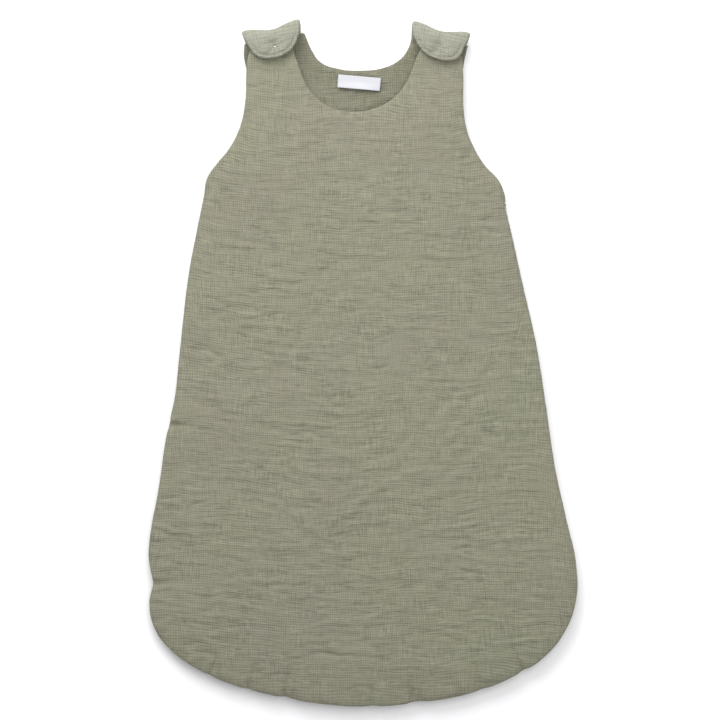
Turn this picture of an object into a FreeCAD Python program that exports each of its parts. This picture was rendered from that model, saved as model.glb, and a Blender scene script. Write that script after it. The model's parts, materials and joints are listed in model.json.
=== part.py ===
import FreeCAD, Part
import math
import os

import Sketcher
from FreeCAD import Placement, Rotation, Vector

# A baby's sleeping bag lying on its back, 70 cm size. Z = 0 is the floor, +Y runs to the
# shoulders and +X to the zip side. The back and the front are padded panels, each a muslin
# shell, a sheet of wadding and a muslin lining, with the empty bag's flat cavity between them.

doc = FreeCAD.newDocument("BabySleepingBag")
sheet = doc.addObject("Spreadsheet::Sheet", "Sizes")

SIZES = [
    ("skin", "0.8", "double muslin, each layer"),
    ("wadding", "3.6", "sheet of wadding, pressed"),
    ("layer_gap", "0.2", "clearance between layers"),
    ("panel", "=2 * skin + wadding + 2 * layer_gap", "one padded panel"),
    ("cavity", "6", "height of the empty bag's inside"),
    ("front_low", "=panel + cavity", "underside of the front panel"),
    ("front_high", "=front_low + panel", "top of the front panel"),
    ("tab_lift", "1", "room for the press stud under a tab"),
    ("tab_low", "=front_high + tab_lift", "underside of a shoulder tab"),
    ("tab_high", "=tab_low + panel", "top of a shoulder tab"),
    ("fold_radius", "=tab_high / 2", "outside radius of the shoulder fold"),
    ("edge_round", "3", "rounding of a panel's outer edge"),
    ("rim", "1.5", "width of the shell's turned edge"),
    ("shoulder_slope", "12", "slope of the shoulders, degrees"),
    ("strap_half", "27", "half width of a shoulder strap"),
    ("tab_half", "29.5", "half width of a shoulder tab"),
    ("tab_flat", "16.5", "flat length of a tab beyond its fold"),
    ("tab_corner", "13", "plan radius of a tab's free corners"),
    ("left_x", "-93.5", "left shoulder, middle of the fold line"),
    ("left_y", "332.2", "left shoulder, middle of the fold line"),
    ("right_x", "75.5", "right shoulder, middle of the fold line"),
    ("right_y", "330.4", "right shoulder, middle of the fold line"),
    ("strap_setback", "1.5", "front strap stops short of the fold line"),
    ("reach_x", "=strap_half * cos(shoulder_slope)", "strap end, half width along X"),
    ("reach_y", "=strap_half * sin(shoulder_slope)", "strap end, half width along Y"),
    ("back_x", "=strap_setback * sin(shoulder_slope)", "front strap setback along X"),
    ("back_y", "=strap_setback * cos(shoulder_slope)", "front strap setback along Y"),
    ("right_out_x", "=right_x + reach_x", "right strap, outer corner"),
    ("right_out_y", "=right_y - reach_y", "right strap, outer corner"),
    ("right_in_x", "=right_x - reach_x", "right strap, inner corner"),
    ("right_in_y", "=right_y + reach_y", "right strap, inner corner"),
    ("left_in_x", "=left_x + reach_x", "left strap, inner corner"),
    ("left_in_y", "=left_y + reach_y", "left strap, inner corner"),
    ("left_out_x", "=left_x - reach_x", "left strap, outer corner"),
    ("left_out_y", "=left_y - reach_y", "left strap, outer corner"),
    ("front_right_out_x", "=right_out_x - back_x", "front strap, right outer corner"),
    ("front_right_out_y", "=right_out_y - back_y", "front strap, right outer corner"),
    ("front_right_in_x", "=right_in_x - back_x", "front strap, right inner corner"),
    ("front_right_in_y", "=right_in_y - back_y", "front strap, right inner corner"),
    ("front_left_in_x", "=left_in_x + back_x", "front strap, left inner corner"),
    ("front_left_in_y", "=left_in_y - back_y", "front strap, left inner corner"),
    ("front_left_out_x", "=left_out_x + back_x", "front strap, left outer corner"),
    ("front_left_out_y", "=left_out_y - back_y", "front strap, left outer corner"),
    ("back_neck_right_x", "41", "back neckline, right end"),
    ("back_neck_left_x", "-57", "back neckline, left end"),
    ("back_neck_y", "322", "back neckline, ends"),
    ("back_neck_radius", "70", "back neckline"),
    ("front_neck_right_x", "46", "front neckline, right end"),
    ("front_neck_left_x", "-66", "front neckline, left end"),
    ("front_neck_y", "297", "front neckline, ends"),
    ("front_neck_radius", "60.5", "front neckline"),
    ("armhole_left_x", "-122.5", "left armhole, top"),
    ("armhole_right_x", "100.5", "right armhole, top"),
    ("armhole_y", "262", "armholes, top"),
    ("armhole_left_radius", "190", "left armhole"),
    ("armhole_right_radius", "110", "right armhole"),
    ("underarm_left_x", "-162", "left underarm corner"),
    ("underarm_right_x", "146", "right underarm corner"),
    ("underarm_y", "183", "underarm corners"),
    ("hip_left_x", "-218.1", "left side, lower end"),
    ("hip_left_y", "-195", "left side, lower end"),
    ("hip_right_x", "219.4", "right side, lower end"),
    ("hip_right_y", "-205", "right side, lower end"),
    ("corner_left_radius", "112", "lower left corner"),
    ("corner_right_radius", "110", "lower right corner"),
    ("foot_half", "138", "foot edge, half length"),
    ("foot_y", "-329", "foot edge, ends"),
    ("foot_radius", "464", "foot edge"),
    ("turn_top_x", "153", "front flap's hinge line, upper end"),
    ("turn_top_y", "148", "front flap's hinge line, upper end"),
    ("turn_low_x", "-152", "front flap's hinge line, lower end"),
    ("turn_low_y", "-326", "front flap's hinge line, lower end"),
    ("zip_inset", "9", "zip plane in from the bag's edge"),
    ("zip_room", "14", "padding kept clear of the zip"),
    ("zip_top", "175", "upper end of the zip tape"),
    ("zip_end_x", "-140", "lower end of the zip tape"),
    ("tape", "0.4", "thickness of the zip tape"),
    ("coil", "1.6", "thickness of a zip coil"),
    ("coil_wide", "1.7", "width of a zip coil"),
    ("coil_gap", "1.4", "channel between the coils for the slider's post"),
    ("guard_inset", "12.4", "inner zip guard in from the bag's edge"),
    ("guard", "1", "thickness of the inner zip guard"),
    ("seam", "2", "thickness of the sewn side seam"),
    ("stud_radius", "4.5", "press stud"),
    ("stud_back", "7.5", "press stud in from the fold line"),
    ("label_long", "44", "neck label"),
    ("label_wide", "13.5", "neck label"),
]


def fill_sheet():
    for row, (alias, value, note) in enumerate(SIZES, start=1):
        sheet.set("A%d" % row, note)
        sheet.set("B%d" % row, value)
        sheet.setAlias("B%d" % row, alias)
    doc.recompute()


fill_sheet()


def size(alias):
    return float(sheet.get(alias))


def bind(obj, prop, expression):
    obj.setExpression(prop, expression)


def cell(alias):
    return "Sizes." + alias


# Outlines -----------------------------------------------------------------------------------


def arc_between(start, end, radius, bulge):
    """Arc from start to end; bulge 1 curves outward on an anticlockwise outline, -1 inward."""
    chord = end - start
    middle = (start + end) * 0.5
    left = Vector(-chord.y, chord.x, 0).normalize()
    rise = math.sqrt(radius ** 2 - (chord.Length / 2) ** 2)
    centre = middle + left * (rise * bulge)
    first, last = (start, end) if bulge > 0 else (end, start)
    circle = Part.Circle(centre, Vector(0, 0, 1), radius)
    angles = [math.atan2(p.y - centre.y, p.x - centre.x) for p in (first, last)]
    if angles[1] < angles[0]:
        angles[1] += 2 * math.pi
    return Part.ArcOfCircle(circle, angles[0], angles[1])


def outline(name, corners):
    """Closed sketch, anticlockwise: each corner is (x, y, radius of the side after it, bulge)."""
    sketch = doc.addObject("Sketcher::SketchObject", name)
    points = [Vector(size(c[0]), size(c[1]), 0) for c in corners]
    starts = []
    ends = []
    for i, (x_cell, y_cell, radius, bulge) in enumerate(corners):
        start, end = points[i], points[(i + 1) % len(points)]
        if radius is None:
            sketch.addGeometry(Part.LineSegment(start, end), False)
        else:
            sketch.addGeometry(arc_between(start, end, size(radius), bulge), False)
        backward = radius is not None and bulge < 0
        starts.append(2 if backward else 1)
        ends.append(1 if backward else 2)
    for i, (x_cell, y_cell, radius, bulge) in enumerate(corners):
        following = (i + 1) % len(corners)
        sketch.addConstraint(Sketcher.Constraint("Coincident", i, ends[i], following, starts[following]))
        for kind, alias, value in (("DistanceX", x_cell, points[i].x), ("DistanceY", y_cell, points[i].y)):
            number = sketch.addConstraint(Sketcher.Constraint(kind, -1, 1, i, starts[i], value))
            bind(sketch, "Constraints[%d]" % number, cell(alias))
        if radius is not None:
            number = sketch.addConstraint(Sketcher.Constraint("Radius", i, size(radius)))
            bind(sketch, "Constraints[%d]" % number, cell(radius))
    return sketch


SIDES_AND_FOOT = [
    ("armhole_left_x", "armhole_y", "armhole_left_radius", -1),
    ("underarm_left_x", "underarm_y", None, 0),
    ("hip_left_x", "hip_left_y", "corner_left_radius", 1),
    ("foot_left_x", "foot_y", "foot_radius", 1),
    ("foot_half", "foot_y", "corner_right_radius", 1),
    ("hip_right_x", "hip_right_y", None, 0),
    ("underarm_right_x", "underarm_y", "armhole_right_radius", -1),
    ("armhole_right_x", "armhole_y", None, 0),
]


def add_cell(alias, value, note):
    row = len(SIZES) + 1
    SIZES.append((alias, value, note))
    sheet.set("A%d" % row, note)
    sheet.set("B%d" % row, value)
    sheet.setAlias("B%d" % row, alias)
    doc.recompute()


add_cell("foot_left_x", "=-foot_half", "foot edge, left end")
add_cell("far_right", "300", "beyond the bag's right side")
add_cell("far_low", "-400", "beyond the bag's foot")
add_cell("turn_past_x", "=turn_top_x + (turn_top_x - turn_low_x) * 0.2", "hinge line carried past its top")
add_cell("turn_past_y", "=turn_top_y + (turn_top_y - turn_low_y) * 0.2", "hinge line carried past its top")
add_cell("turn_under_x", "=turn_low_x - (turn_top_x - turn_low_x) * 0.15", "hinge line carried past its foot")
add_cell("turn_under_y", "=turn_low_y - (turn_top_y - turn_low_y) * 0.15", "hinge line carried past its foot")
add_cell("zip_inner_x", "80", "inside the zip's run, beside the chest")
add_cell("zip_inner_low", "-200", "inside the zip's run, above the foot")
add_cell("zip_heel_y", "-300", "inside the zip's run, above its lower end")

back_outline = outline("BackOutline", [
    ("right_out_x", "right_out_y", None, 0),
    ("right_in_x", "right_in_y", None, 0),
    ("back_neck_right_x", "back_neck_y", "back_neck_radius", -1),
    ("back_neck_left_x", "back_neck_y", None, 0),
    ("left_in_x", "left_in_y", None, 0),
    ("left_out_x", "left_out_y", None, 0),
] + SIDES_AND_FOOT)

front_outline = outline("FrontOutline", [
    ("front_right_out_x", "front_right_out_y", None, 0),
    ("front_right_in_x", "front_right_in_y", None, 0),
    ("front_neck_right_x", "front_neck_y", "front_neck_radius", -1),
    ("front_neck_left_x", "front_neck_y", None, 0),
    ("front_left_in_x", "front_left_in_y", None, 0),
    ("front_left_out_x", "front_left_out_y", None, 0),
] + SIDES_AND_FOOT)

flap_region = outline("FlapRegion", [
    ("turn_past_x", "turn_past_y", None, 0),
    ("turn_under_x", "turn_under_y", None, 0),
    ("turn_under_x", "far_low", None, 0),
    ("far_right", "far_low", None, 0),
    ("far_right", "turn_past_y", None, 0),
])

zip_region = outline("ZipRegion", [
    ("far_right", "zip_top", None, 0),
    ("zip_inner_x", "zip_top", None, 0),
    ("foot_left_x", "zip_inner_low", None, 0),
    ("zip_end_x", "zip_heel_y", None, 0),
    ("zip_end_x", "far_low", None, 0),
    ("far_right", "far_low", None, 0),
])
doc.recompute()


# Solids from outlines -----------------------------------------------------------------------

part_number = [0]


def new(kind, word):
    part_number[0] += 1
    return doc.addObject(kind, "%s%02d" % (word, part_number[0]))


def prism(sketch, inset, low, high):
    """The outline, drawn in by inset, as a solid from height low to height high."""
    source = sketch
    if inset != "0":
        source = new("Part::Offset2D", "Inset")
        source.Source = sketch
        source.Join = 0
        source.Value = -1
        bind(source, "Value", "-(%s)" % inset)
    solid = new("Part::Extrusion", "Prism")
    solid.Base = source
    solid.DirMode = "Custom"
    solid.Dir = Vector(0, 0, 1)
    solid.Solid = True
    solid.LengthFwd = 1
    bind(solid, "LengthFwd", "(%s) - (%s)" % (high, low))
    bind(solid, "Placement.Base.z", low)
    doc.recompute()
    return solid


def rounded(solid, radius, at_top):
    """Round the solid's upper or lower rim."""
    box = solid.Shape.BoundBox
    level = box.ZMax if at_top else box.ZMin
    rim = [
        i for i, edge in enumerate(solid.Shape.Edges, start=1)
        if abs(edge.BoundBox.ZMin - level) < 1e-4 and abs(edge.BoundBox.ZMax - level) < 1e-4
    ]
    fillet = new("Part::Fillet", "Round")
    fillet.Base = solid
    fillet.Edges = [(i, radius, radius) for i in rim]
    doc.recompute()
    return fillet


def cut(base, tool):
    result = new("Part::Cut", "Cut")
    result.Base = base
    result.Tool = tool
    doc.recompute()
    return result


def common(*shapes):
    result = new("Part::MultiCommon", "Common")
    result.Shapes = list(shapes)
    doc.recompute()
    return result


def fuse(*shapes):
    result = new("Part::MultiFuse", "Fuse")
    result.Shapes = list(shapes)
    doc.recompute()
    return result


nodes = []


def node(label, obj):
    obj.Label = label
    nodes.append(obj)
    return obj


def ring(sketch, outer, inner, low, high):
    """A strip standing along the outline, between two insets and two heights."""
    return cut(prism(sketch, outer, low, high), prism(sketch, inner, low, high))


# Panels: the shell is a shallow tray turned over the wadding's edge, the lining closes it.

SKIN = cell("skin")
RIM = cell("rim")
EDGE = "%s + %s" % (cell("skin"), cell("layer_gap"))
HALF_SPLIT = "0.15"

flap_solid = prism(flap_region, HALF_SPLIT, "-5", "60")
flap_wide = prism(flap_region, "-" + HALF_SPLIT, "-5", "60")
zip_clear = common(
    cut(prism(back_outline, "-1", "-5", "60"), prism(back_outline, cell("zip_room"), "-5", "60")),
    prism(zip_region, "0", "-5", "60"),
)
zip_solid = prism(zip_region, "0", "-5", "60")


def shell_tray(sketch, low, high, at_top):
    outer = rounded(prism(sketch, "0", low, high), size("edge_round"), at_top)
    if at_top:
        return cut(outer, prism(sketch, RIM, "%s - 2" % low, "%s - %s" % (high, SKIN)))
    return cut(outer, prism(sketch, RIM, "%s + %s" % (low, SKIN), "%s + 2" % high))


def layer(sketch, low, thickness):
    inset = "%s + %s" % (RIM, cell("layer_gap"))
    return cut(prism(sketch, inset, low, "%s + %s" % (low, thickness)), zip_clear)


def build_back():
    node("back_shell", shell_tray(back_outline, "0", cell("panel"), False))
    node("back_padding", layer(back_outline, EDGE, cell("wadding")))
    node("back_lining", layer(back_outline, "%s - %s" % (cell("panel"), SKIN), SKIN))


def build_front():
    low, high = cell("front_low"), cell("front_high")
    layers = [
        ("front_shell", shell_tray(front_outline, low, high, True)),
        ("front_padding", layer(front_outline, "%s + %s" % (low, EDGE), cell("wadding"))),
        ("front_lining", layer(front_outline, low, SKIN)),
    ]
    for name, solid in layers:
        node(name + "_upper", cut(solid, flap_wide))
        node(name + "_flap", common(solid, flap_solid))


# Shoulders: each back strap folds over the front strap's end and comes forward as a tab.


def shoulder_place(side):
    turn = size("shoulder_slope") * (1 if side == "left" else -1)
    return Placement(Vector(size(side + "_x"), size(side + "_y"), 0), Rotation(Vector(0, 0, 1), turn))


def box(x_low, x_high, y_low, y_high, z_low, z_high):
    solid = new("Part::Box", "Box")
    bind(solid, "Length", "(%s) - (%s)" % (x_high, x_low))
    bind(solid, "Width", "(%s) - (%s)" % (y_high, y_low))
    bind(solid, "Height", "(%s) - (%s)" % (z_high, z_low))
    bind(solid, "Placement.Base.x", x_low)
    bind(solid, "Placement.Base.y", y_low)
    bind(solid, "Placement.Base.z", z_low)
    return solid


def rod(radius, length, y, low):
    """Upright cylinder on the YZ plane."""
    solid = new("Part::Cylinder", "Rod")
    bind(solid, "Radius", radius)
    bind(solid, "Height", length)
    bind(solid, "Placement.Base.y", y)
    bind(solid, "Placement.Base.z", low)
    return solid


def fold_barrel(radius, half):
    """Cylinder lying along the fold line."""
    solid = new("Part::Cylinder", "Barrel")
    bind(solid, "Radius", radius)
    bind(solid, "Height", "2 * (%s)" % half)
    solid.Placement.Rotation = Rotation(Vector(0, 1, 0), 90)
    bind(solid, "Placement.Base.x", "-(%s)" % half)
    bind(solid, "Placement.Base.z", cell("fold_radius"))
    return solid


def fold_layer(outer, inner, half, upper):
    """One layer of the folded strap: a quarter ring, and above it the tab's flat."""
    turned = cut(fold_barrel(outer, half), fold_barrel(inner, half))
    middle = cell("fold_radius")
    if not upper:
        return common(turned, box("-" + half, half, "0", "20", "-1", middle + " - 0.15"))
    quarter = common(turned, box("-" + half, half, "0", "20", middle + " + 0.15", middle + " + 20"))
    flat = box("-" + half, half, "-" + cell("tab_flat"), "0",
               "%s + %s" % (middle, inner), "%s + %s" % (middle, outer))
    plan = box("-" + half, half, "-" + cell("tab_flat"), "20", "-1", "60")
    doc.recompute()
    corners = [
        i for i, edge in enumerate(plan.Shape.Edges, start=1)
        if edge.BoundBox.ZLength > 1 and edge.BoundBox.YMax < 0
    ]
    trim = new("Part::Fillet", "Round")
    trim.Base = plan
    trim.Edges = [(i, size("tab_corner"), size("tab_corner")) for i in corners]
    doc.recompute()
    return common(fuse(quarter, flat), trim)


def build_shoulder(side):
    place = shoulder_place(side)
    half = cell("tab_half")
    radius = cell("fold_radius")
    panel_in = "%s - %s" % (radius, cell("panel"))
    stud_y = "-" + cell("stud_back")
    room = "%s + 0.4" % cell("stud_radius")
    made = {}
    made["strap_fold"] = fold_layer(radius, panel_in, cell("strap_half"), False)
    shell_in = "%s - %s" % (radius, SKIN)
    lining_out = "%s + %s" % (panel_in, SKIN)
    shell = fold_layer(radius, shell_in, half, True)
    padding = fold_layer("%s - %s" % (shell_in, cell("layer_gap")),
                         "%s + %s" % (lining_out, cell("layer_gap")), half + " - 1", True)
    inner = fold_layer(lining_out, panel_in, half, True)
    cap_low = "%s - 3.2" % cell("tab_high")
    made["tab_shell"] = shell
    cap_room = rod(room, "1.2", stud_y, cap_low + " - 0.2")
    socket_room = rod(room, "2.4", stud_y, cell("tab_low") + " - 0.2")
    made["tab_padding"] = cut(cut(padding, cap_room), socket_room)
    made["tab_lining"] = cut(inner, rod(room, "2.4", stud_y, cell("tab_low") + " - 0.2"))
    made["stud_cap"] = cut(rod(cell("stud_radius"), "0.8", stud_y, cap_low),
                           rod("1.6", "2", stud_y, cap_low + " + 0.5"))
    made["stud_socket"] = cut(rod(cell("stud_radius"), "1.8", stud_y, cell("tab_low") + " + 0.1"),
                              rod("2.5", "2.4", stud_y, cell("tab_low") + " - 0.3"))
    made["stud_ball"] = fuse(rod(cell("stud_radius"), "0.6", stud_y, cell("front_high") + " + 0.05"),
                             rod("1.7", "2.2", stud_y, cell("front_high") + " + 0.05"))
    made["stud_ring"] = cut(rod(cell("stud_radius"), "0.6", stud_y, cell("front_low") + " - 0.65"),
                            rod("1.5", "2", stud_y, cell("front_low") + " - 1"))
    doc.recompute()
    for name, solid in made.items():
        solid.Placement = place.multiply(solid.Placement)
        node("%s_%s" % (side, name), solid)


# Side closure: a sewn seam on the left, a zip down the right and round the foot --------------


def zip_strip(low, high, thick, inset=cell("zip_inset")):
    half = "(%s) / 2" % thick
    strip = ring(back_outline, "%s - %s" % (inset, half), "%s + %s" % (inset, half), low, high)
    return common(strip, zip_solid)


def build_zip():
    middle = "%s + %s / 2" % (cell("panel"), cell("cavity"))
    half_gap = "%s / 2" % cell("coil_gap")
    front_coil = zip_strip("%s + %s" % (middle, half_gap),
                           "%s + %s + %s" % (middle, half_gap, cell("coil_wide")), cell("coil"))
    back_coil = zip_strip("%s - %s - %s" % (middle, half_gap, cell("coil_wide")),
                          "%s - %s" % (middle, half_gap), cell("coil"))
    front_tape = zip_strip("%s + %s + %s" % (middle, half_gap, cell("coil_wide")),
                           "%s - %s - 0.2" % (cell("front_high"), SKIN), cell("tape"))
    back_tape = zip_strip("%s + 0.2" % SKIN,
                          "%s - %s - %s" % (middle, half_gap, cell("coil_wide")), cell("tape"))
    for name, solid in (("zip_coil_front", front_coil), ("zip_tape_front", front_tape)):
        node(name + "_upper", cut(solid, flap_wide))
        node(name + "_flap", common(solid, flap_solid))
    node("zip_coil_back", back_coil)
    node("zip_tape_back", back_tape)
    guard = zip_strip("%s + 0.1" % cell("panel"), "%s - 0.3" % cell("front_low"), cell("guard"),
                      cell("guard_inset"))
    node("zip_guard", guard)


def build_side_seam():
    low = "%s + 0.1" % cell("panel")
    high = "%s - 0.1" % cell("front_low")
    seam = ring(back_outline, "0.4", "0.4 + %s" % cell("seam"), low, high)
    left_side = doc.addObject("Part::Box", "LeftSide")
    left_side.Length = 400
    left_side.Width = 600
    left_side.Height = 60
    left_side.Placement.Base = Vector(-100 - 400, size("underarm_y") - 8 - 600, -5)
    low_edge = prism(zip_region, "-0.5", "-5", "60")
    node("side_seam", cut(common(seam, left_side), low_edge))


def zip_place(run, level):
    """On the zip plane, run millimetres below the right underarm; X outward, Y up the zip."""
    top = Vector(size("underarm_right_x"), size("underarm_y"), 0)
    down = Vector(size("hip_right_x"), size("hip_right_y"), 0) - top
    down.normalize()
    out = Vector(-down.y, down.x, 0)
    spot = top + down * run - out * size("zip_inset") + Vector(0, 0, level)
    return Placement(spot, Rotation(Vector(0, 0, 1), math.degrees(math.atan2(out.y, out.x))))


def plain_box(x_low, x_high, y_low, y_high, z_half):
    solid = new("Part::Box", "Box")
    solid.Length = x_high - x_low
    solid.Width = y_high - y_low
    solid.Height = 2 * z_half
    solid.Placement.Base = Vector(x_low, y_low, -z_half)
    return solid


SLIDER_RUN = 19
STOP_RUN = 10.5


def build_slider():
    level = size("panel") + size("cavity") / 2
    plates = [plain_box(1.1, 2.1, -6, 6, 3.5), plain_box(-2.1, -1.1, -6, 6, 3.5)]
    post = plain_box(-1.1, 1.1, 3, 6, 0.4)
    bridge = cut(plain_box(2.1, 4.7, -3, 3, 1.4), plain_box(2.1, 3.9, -1.8, 1.8, 2))
    slider = fuse(plates[0], plates[1], post, bridge)
    pull = cut(plain_box(2.4, 3.6, -24, 0.6, 2.7), plain_box(2, 4, -4.2, -0.6, 1.7))
    top_stop = fuse(plain_box(0.95, 1.8, -1, 1, 3), plain_box(-1.8, -0.95, -1, 1, 3))
    top_stop = cut(fuse(top_stop, plain_box(-1, 1, -1, 1, 0.35)), plain_box(-9, -8, 0, 1, 1))
    doc.recompute()
    for name, solid, run in (("zip_slider", slider, SLIDER_RUN), ("zip_pull", pull, SLIDER_RUN),
                             ("zip_top_stop", top_stop, STOP_RUN)):
        solid.Placement = zip_place(run, level)
        node(name, solid)


def label(name, length, width, x, y, turn):
    patch = new("Part::Box", "Patch")
    patch.Length = length
    patch.Width = width
    patch.Height = 0.4
    centre = Placement(Vector(x, y, size("panel") + 0.05), Rotation(Vector(0, 0, 1), turn))
    patch.Placement = centre.multiply(Placement(Vector(-length / 2, -width / 2, 0), Rotation()))
    node(name, patch)


build_back()
build_front()
for shoulder in ("left", "right"):
    build_shoulder(shoulder)
build_zip()
build_side_seam()
build_slider()
label("neck_label", size("label_long"), size("label_wide"), -6, 288, -5)
label("care_label", 25, 40, -152, 60, 8.5)
doc.recompute()

os.makedirs("parts", exist_ok=True)
for obj in doc.Objects:
    if "Invalid" in obj.State or "Error" in obj.State:
        raise RuntimeError("%s did not build" % obj.Label)
for obj in nodes:
    shape = obj.Shape
    if shape.isNull() or not shape.isValid() or shape.Volume <= 0:
        raise RuntimeError("%s has no sound solid" % obj.Label)
    shape.exportStep("parts/%s.step" % obj.Label)
    b = shape.BoundBox
    print("%-24s %d solid %9.0f mm3  x %7.1f %7.1f  y %7.1f %7.1f  z %5.2f %5.2f" % (
        obj.Label, len(shape.Solids), shape.Volume, b.XMin, b.XMax, b.YMin, b.YMax, b.ZMin, b.ZMax))
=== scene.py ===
# %% [markdown]
# # A baby's sleeping bag in crinkled double gauze
# The bag is two padded panels, a back and a front. Each is double gauze outside, a sheet of
# wadding, and gauze again as lining. Straps from the back fold over the shoulders and snap
# down on the front. A zip runs down one side and round the foot.
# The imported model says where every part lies, so it is loaded first and never moved.

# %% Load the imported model
import json
import math

import bmesh
import bpy
import numpy as np
from mathutils import Matrix, Vector
from mathutils.kdtree import KDTree


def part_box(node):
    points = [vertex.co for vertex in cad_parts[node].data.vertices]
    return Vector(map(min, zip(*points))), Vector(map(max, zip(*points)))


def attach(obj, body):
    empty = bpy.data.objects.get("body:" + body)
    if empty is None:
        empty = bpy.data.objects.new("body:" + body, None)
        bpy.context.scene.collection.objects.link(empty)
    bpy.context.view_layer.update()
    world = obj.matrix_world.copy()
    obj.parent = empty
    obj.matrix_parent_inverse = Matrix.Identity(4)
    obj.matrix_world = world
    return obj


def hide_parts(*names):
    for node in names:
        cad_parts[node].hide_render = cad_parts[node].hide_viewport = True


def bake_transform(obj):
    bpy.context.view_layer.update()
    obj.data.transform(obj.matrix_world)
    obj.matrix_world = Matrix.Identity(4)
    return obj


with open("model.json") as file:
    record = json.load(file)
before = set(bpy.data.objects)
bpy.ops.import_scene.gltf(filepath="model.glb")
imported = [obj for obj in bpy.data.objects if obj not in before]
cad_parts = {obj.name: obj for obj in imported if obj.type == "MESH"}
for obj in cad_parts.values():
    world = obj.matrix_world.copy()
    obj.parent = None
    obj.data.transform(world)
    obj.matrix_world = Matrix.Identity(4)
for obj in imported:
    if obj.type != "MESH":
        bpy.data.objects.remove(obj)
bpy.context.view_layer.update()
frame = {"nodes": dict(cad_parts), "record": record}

MM = 0.001


# %% [markdown]
# ## Reading the model
# Heights are taken from the model's own parts. The back panel fills the lowest layer, the
# front panel lies over an empty space, and the tabs lie on the front straps.

# %% Heights and shoulder places, in millimetres
def box_mm(node):
    low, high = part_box(node)
    return Vector(low) / MM, Vector(high) / MM


BACK_TOP = box_mm("back_lining")[1].z
FRONT_LOW = box_mm("front_shell_upper")[0].z
TAB_TOP = box_mm("left_tab_shell")[1].z
FOLD = TAB_TOP / 2
joints = {joint["name"]: joint for joint in frame["record"]["behaviour"]["joints"]}
print("back to", BACK_TOP, "front from", FRONT_LOW, "tab top", TAB_TOP)


# %% [markdown]
# ## Washed crinkles
# Gauze is woven in two layers caught together every few millimetres. After washing, the
# layers shrink by different amounts and the cloth crinkles, mostly in short wavy creases
# along the weft. The creases are real shape here, so they are moved into the mesh with a
# noise that is stretched along the weft. The noise is gradient noise on a fixed table, so
# every run gives the same cloth. The weft sags a little towards the left side.

# %% Noise with a fixed table
def noise(x, y, across, along, seed):
    """Gradient noise between about -1 and 1; across and along are its sizes in millimetres."""
    angle = np.random.default_rng(seed).random((64, 64)) * 2 * math.pi
    u, v = x / across, y / along
    i, j = np.floor(u).astype(int), np.floor(v).astype(int)
    u, v = u - i, v - j

    def corner(di, dj):
        a = angle[(i + di) % 64, (j + dj) % 64]
        return np.cos(a) * (u - di) + np.sin(a) * (v - dj)

    fade_u, fade_v = u * u * u * (u * (u * 6 - 15) + 10), v * v * v * (v * (v * 6 - 15) + 10)
    low = corner(0, 0) * (1 - fade_u) + corner(1, 0) * fade_u
    high = corner(0, 1) * (1 - fade_u) + corner(1, 1) * fade_u
    return (low * (1 - fade_v) + high * fade_v) * 1.5


def step(value, start, end):
    t = np.clip((value - start) / (end - start), 0, 1)
    return t * t * (3 - 2 * t)


BIAS = 0.00028


def sag(x):
    """How far the weft sags towards the left, in millimetres."""
    return BIAS * np.minimum(x, 0) ** 2


def crinkle(x, y, seed=3):
    """Depth of the washed crinkles in millimetres, mostly creases along the weft."""
    lie = y - sag(x) + 5 * noise(x, y, 75, 60, seed)
    bent = lie + 1.3 * noise(x, y, 17, 13, seed + 1)
    strength = 0.6 + 0.55 * noise(x, y, 80, 50, seed + 3)
    broken = step(noise(x, bent, 30, 8, seed + 7), -0.25, 0.3)
    weft = noise(x, bent, 52, 7.0, seed + 4)
    fine = noise(x, bent, 20, 4.0, seed + 5)
    warp = noise(x + 2 * noise(x, y, 40, 60, seed + 2), y, 4.6, 34, seed + 6)
    crease = -np.exp(-(weft / 0.17) ** 2)
    return strength * (0.7 * crease * broken + 0.5 * weft + 0.26 * fine) + 0.2 * warp


# %% [markdown]
# ## Panels cut to shape
# A panel starts as a flat closed curve, the paper pattern, with a rounded edge. The curve
# becomes a solid, and a remesh turns the solid into an even skin that can be shaped. The
# pattern is a list of places on the bag's edge in millimetres, joined smoothly. The sewn side
# on the left pulls the edge into ripples. On the zip side the front is cut a little shy of the
# back.

# %% Pattern pieces
SIDE_LEFT = [
    (-121.5, 300), (-122.5, 270), (-128, 243), (-139, 221), (-152, 205), (-161.5, 191),
    (-165, 172), (-172, 138), (-181, 89), (-187, 38), (-191, 0), (-194.5, -32),
    (-201.5, -64), (-205.5, -86), (-208.5, -108), (-212.5, -134), (-218.5, -165),
    (-221.5, -196), (-217.8, -224), (-220.8, -246), (-214, -273),
    (-201, -290), (-173, -311), (-138, -327), (-100, -337.5), (-58, -345.5),
]
SIDE_RIGHT = [
    (0, -350), (55, -346), (108, -336.5), (152, -320), (184, -300), (206, -273),
    (217.5, -240), (217.5, -206), (207.5, -160), (195.5, -105), (186, -40),
    (175.5, 25), (163, 80), (152, 130), (145, 162), (143.5, 176),
    (137.5, 187.5), (122.5, 204), (111.5, 222), (104, 241), (101, 262), (100.5, 300),
]
ZIP_SIDE_SHY = 1.3
UNDERARM_X = 140
FRONT = [
    (98.6, 316), (91.5, 326), (77, 331.5), (64.5, 330.5), (57.5, 323.5), (51.6, 311.5), (47, 299),
    (42, 288.5), (31.5, 275), (13.5, 263.5), (-7.5, 259), (-33, 262.5), (-50, 273.5),
    (-61.5, 289.5), (-67.8, 306), (-73, 320), (-75.5, 329), (-82, 334), (-95, 334),
    (-110, 330.5), (-117.4, 322), (-120.4, 312),
] + SIDE_LEFT + [(x - ZIP_SIDE_SHY if x > UNDERARM_X else x, y) for x, y in SIDE_RIGHT]
BACK = [
    (105.9, 328), (76.4, 334.4), (48.9, 340), (43.5, 323), (33.5, 312), (18, 305), (-5, 302.5),
    (-28, 304.5), (-46, 311.5), (-54.5, 323), (-62.5, 341.4), (-94.4, 336), (-124.2, 330),
    (-124.6, 317),
] + SIDE_LEFT + SIDE_RIGHT
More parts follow.
